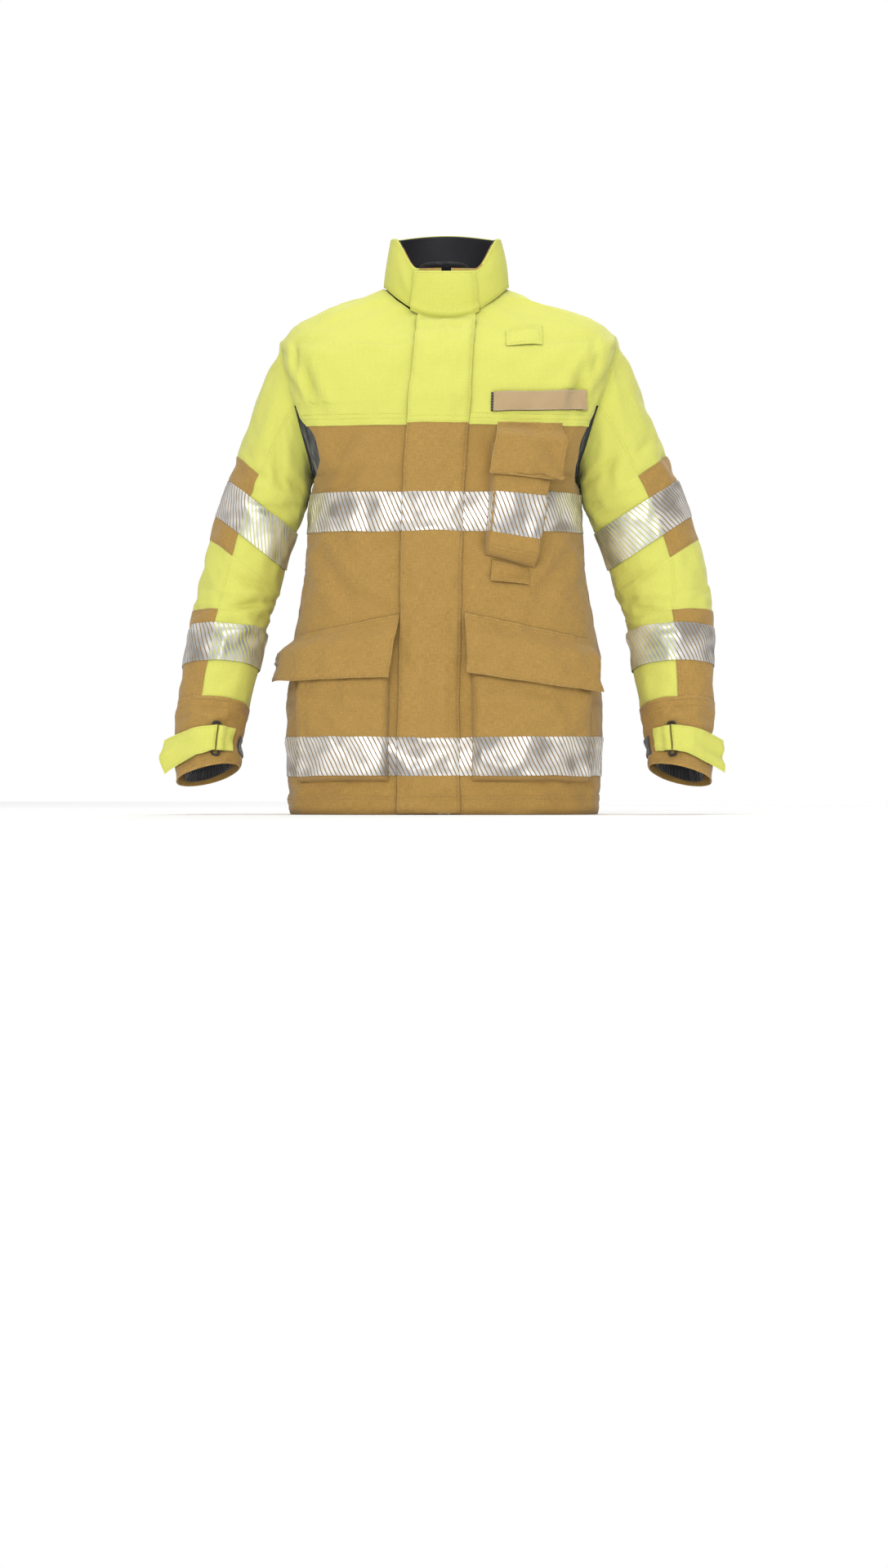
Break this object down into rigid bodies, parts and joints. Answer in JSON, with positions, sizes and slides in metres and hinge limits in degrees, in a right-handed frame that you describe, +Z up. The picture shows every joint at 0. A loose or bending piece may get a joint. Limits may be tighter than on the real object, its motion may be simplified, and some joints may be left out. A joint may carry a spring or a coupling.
{
  "type": "turnout coat",
  "caption": "Firefighter's turnout coat: zipped front under a storm flap, stand-up collar, reflective bands, cargo and radio pockets, strapped cuffs.",
  "frame": {"origin": "centre of the coat's bounding box at the level of the hem it stands on", "axes": "+Z up along the coat, -Y is the front with the zip, +X is the wearer's left"},
  "size_m": [0.736, 0.3217, 0.75],
  "materials": {
    "lime_fabric": "hi-vis yellow ripstop",
    "khaki_fabric": "gold-brown aramid ripstop",
    "lining_fabric": "quilted dark lining",
    "stretch_fabric": "charcoal stretch weave",
    "reflective_tape": "silver retroreflective segments",
    "sand_fabric": "sand webbing",
    "black_hook": "hook-and-loop strip",
    "knit": "ribbed knit",
    "black_plastic": "moulded acetal",
    "zip_plastic": "moulded zip teeth"
  },
  "bodies": {
    "coat": {"yoke_front_right": "lime_fabric", "yoke_front_left": "lime_fabric", "yoke_back": "lime_fabric", "front_panel_right": "khaki_fabric", "front_panel_left": "khaki_fabric", "back_panel": "khaki_fabric", "underarm_gusset_right": "stretch_fabric", "underarm_gusset_left": "stretch_fabric", "lining_front_right": "lining_fabric", "lining_front_left": "lining_fabric", "lining_back": "lining_fabric", "collar_shell": "lime_fabric", "collar_lining": "khaki_fabric", "hanger_loop": "black_hook", "zip_tapes": "black_hook", "zip_teeth": "zip_plastic", "cargo_pocket_right": "khaki_fabric", "cargo_pocket_left": "khaki_fabric", "radio_pocket": "khaki_fabric", "name_strip_hook": "black_hook", "microphone_loop": "lime_fabric", "chest_tape": "reflective_tape", "hem_tape": "reflective_tape"},
    "storm_flap": {"storm_flap": "khaki_fabric", "storm_flap_top": "lime_fabric", "storm_flap_tapes": "reflective_tape"},
    "collar_tab": {"collar_tab": "lime_fabric"},
    "zip_slider": {"zip_slider": "black_plastic"},
    "zip_pull": {"zip_pull": "black_plastic"},
    "cargo_flap_right": {"cargo_flap_right": "khaki_fabric"},
    "cargo_flap_left": {"cargo_flap_left": "khaki_fabric"},
    "radio_pocket_flap": {"radio_pocket_flap": "khaki_fabric"},
    "radio_pocket_tab": {"radio_pocket_tab": "khaki_fabric"},
    "name_strip": {"name_strip": "sand_fabric"},
    "upper_arm_right": {"sleeve_head_right": "lime_fabric", "upper_sleeve_right": "lime_fabric", "upper_insert_right": "khaki_fabric", "upper_tape_right": "reflective_tape", "elbow_section_right": "lime_fabric"},
    "forearm_right": {"lower_sleeve_right": "lime_fabric", "lower_insert_right": "khaki_fabric", "lower_tape_right": "reflective_tape", "cuff_right": "khaki_fabric", "wristlet_right": "knit", "cuff_strap_anchor_right": "lime_fabric"},
    "cuff_ring_right": {"cuff_ring_right": "black_plastic"},
    "cuff_strap_right": {"cuff_strap_right": "lime_fabric"},
    "upper_arm_left": {"sleeve_head_left": "lime_fabric", "upper_sleeve_left": "lime_fabric", "upper_insert_left": "khaki_fabric", "upper_tape_left": "reflective_tape", "elbow_section_left": "lime_fabric"},
    "forearm_left": {"lower_sleeve_left": "lime_fabric", "lower_insert_left": "khaki_fabric", "lower_tape_left": "reflective_tape", "cuff_left": "khaki_fabric", "wristlet_left": "knit", "cuff_strap_anchor_left": "lime_fabric"},
    "cuff_ring_left": {"cuff_ring_left": "black_plastic"},
    "cuff_strap_left": {"cuff_strap_left": "lime_fabric"}
  },
  "joints": [
    {"name": "storm_flap_hinge", "type": "hinge", "parent": "coat", "child": "storm_flap", "pos_m": [0.031, -0.15, 0], "axis": [0, 0.0245, 0.9997], "range_deg": [0, 72], "deforming": ["storm_flap_top"]},
    {"name": "collar_tab_hinge", "type": "hinge", "parent": "coat", "child": "collar_tab", "pos_m": [0.0394, -0.0468, 0.685], "axis": [-0.0662, -0.0226, 0.9976], "range_deg": [0, 110]},
    {"name": "zip_slider_travel", "type": "slide", "parent": "coat", "child": "zip_slider", "axis": [0, -0.0246, -0.9997], "range_m": [0, 0.45]},
    {"name": "zip_pull_swing", "type": "hinge", "parent": "zip_slider", "child": "zip_pull", "pos_m": [0, -0.1321, 0.5088], "axis": [0, -1, 0], "range_deg": [-20, 20]},
    {"name": "cargo_flap_right_hinge", "type": "hinge", "parent": "coat", "child": "cargo_flap_right", "pos_m": [-0.0628, -0.16, 0.2465], "axis": [-0.8721, 0.4639, -0.1555], "range_deg": [0, 80]},
    {"name": "cargo_flap_left_hinge", "type": "hinge", "parent": "coat", "child": "cargo_flap_left", "pos_m": [0.0387, -0.1613, 0.2464], "axis": [-0.8997, -0.4146, 0.1367], "range_deg": [0, 80]},
    {"name": "radio_flap_hinge", "type": "hinge", "parent": "coat", "child": "radio_pocket_flap", "pos_m": [0.0728, -0.1584, 0.4951], "axis": [-0.9608, -0.2694, 0.0662], "range_deg": [0, 100]},
    {"name": "radio_tab_hinge", "type": "hinge", "parent": "coat", "child": "radio_pocket_tab", "pos_m": [0.0623, -0.1382, 0.3291], "axis": [-0.96, -0.1906, 0.205], "range_deg": [0, 80]},
    {"name": "name_strip_peel", "type": "slide", "parent": "coat", "child": "name_strip", "axis": [0.181, -0.9788, 0.096], "range_m": [0, 0.03]},
    {"name": "shoulder_right", "type": "hinge", "parent": "coat", "child": "upper_arm_right", "pos_m": [-0.196, 0.015, 0.545], "axis": [0, 1, 0], "range_deg": [0, 45], "deforming": ["sleeve_head_right"]},
    {"name": "elbow_right", "type": "hinge", "parent": "upper_arm_right", "child": "forearm_right", "pos_m": [-0.2775, 0.005, 0.284], "axis": [-0.9629, 0, 0.27], "range_deg": [0, 50], "deforming": ["elbow_section_right"]},
    {"name": "cuff_ring_right_swing", "type": "hinge", "parent": "forearm_right", "child": "cuff_ring_right", "pos_m": [-0.28876, -0.08654, 0.09865], "axis": [0.019, 0.17, 0.9853], "range_deg": [0, 60]},
    {"name": "cuff_strap_right_hinge", "type": "hinge", "parent": "cuff_ring_right", "child": "cuff_strap_right", "pos_m": [-0.29743, -0.08891, 0.09923], "axis": [0.019, 0.17, 0.9853], "range_deg": [0, 90]},
    {"name": "shoulder_left", "type": "hinge", "parent": "coat", "child": "upper_arm_left", "pos_m": [0.196, 0.015, 0.545], "axis": [0, -1, 0], "range_deg": [0, 45], "deforming": ["sleeve_head_left"]},
    {"name": "elbow_left", "type": "hinge", "parent": "upper_arm_left", "child": "forearm_left", "pos_m": [0.2775, 0.005, 0.284], "axis": [-0.9629, 0, -0.27], "range_deg": [0, 50], "deforming": ["elbow_section_left"]},
    {"name": "cuff_ring_left_swing", "type": "hinge", "parent": "forearm_left", "child": "cuff_ring_left", "pos_m": [0.28876, -0.08654, 0.09865], "axis": [0.019, -0.17, -0.9853], "range_deg": [0, 60]},
    {"name": "cuff_strap_left_hinge", "type": "hinge", "parent": "cuff_ring_left", "child": "cuff_strap_left", "pos_m": [0.29743, -0.08891, 0.09923], "axis": [0.019, -0.17, -0.9853], "range_deg": [0, 90]}
  ]
}
